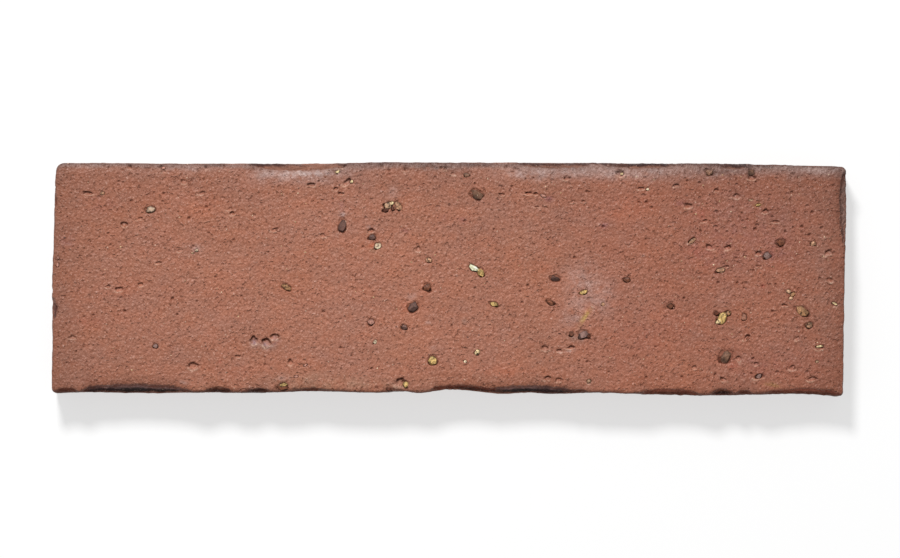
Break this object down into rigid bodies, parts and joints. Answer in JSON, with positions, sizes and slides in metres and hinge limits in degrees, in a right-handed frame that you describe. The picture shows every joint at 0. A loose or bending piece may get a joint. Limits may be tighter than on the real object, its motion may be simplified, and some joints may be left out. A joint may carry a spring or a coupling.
{
  "type": "clinker brick slip",
  "caption": "Thin fired clay facing slab with a rough face, worn arrises and undercut keying grooves on its back.",
  "frame": {"origin": "centre of the back, in the plane of the ribs that meet the adhesive bed", "axes": "+Z out of the face, +X along the length to the right of the face as pictured, +Y up the face"},
  "size_m": [0.24, 0.0703, 0.014],
  "materials": {
    "clinker": "matte"
  },
  "bodies": {
    "root": {"brick_slip": "clinker"}
  },
  "joints": []
}
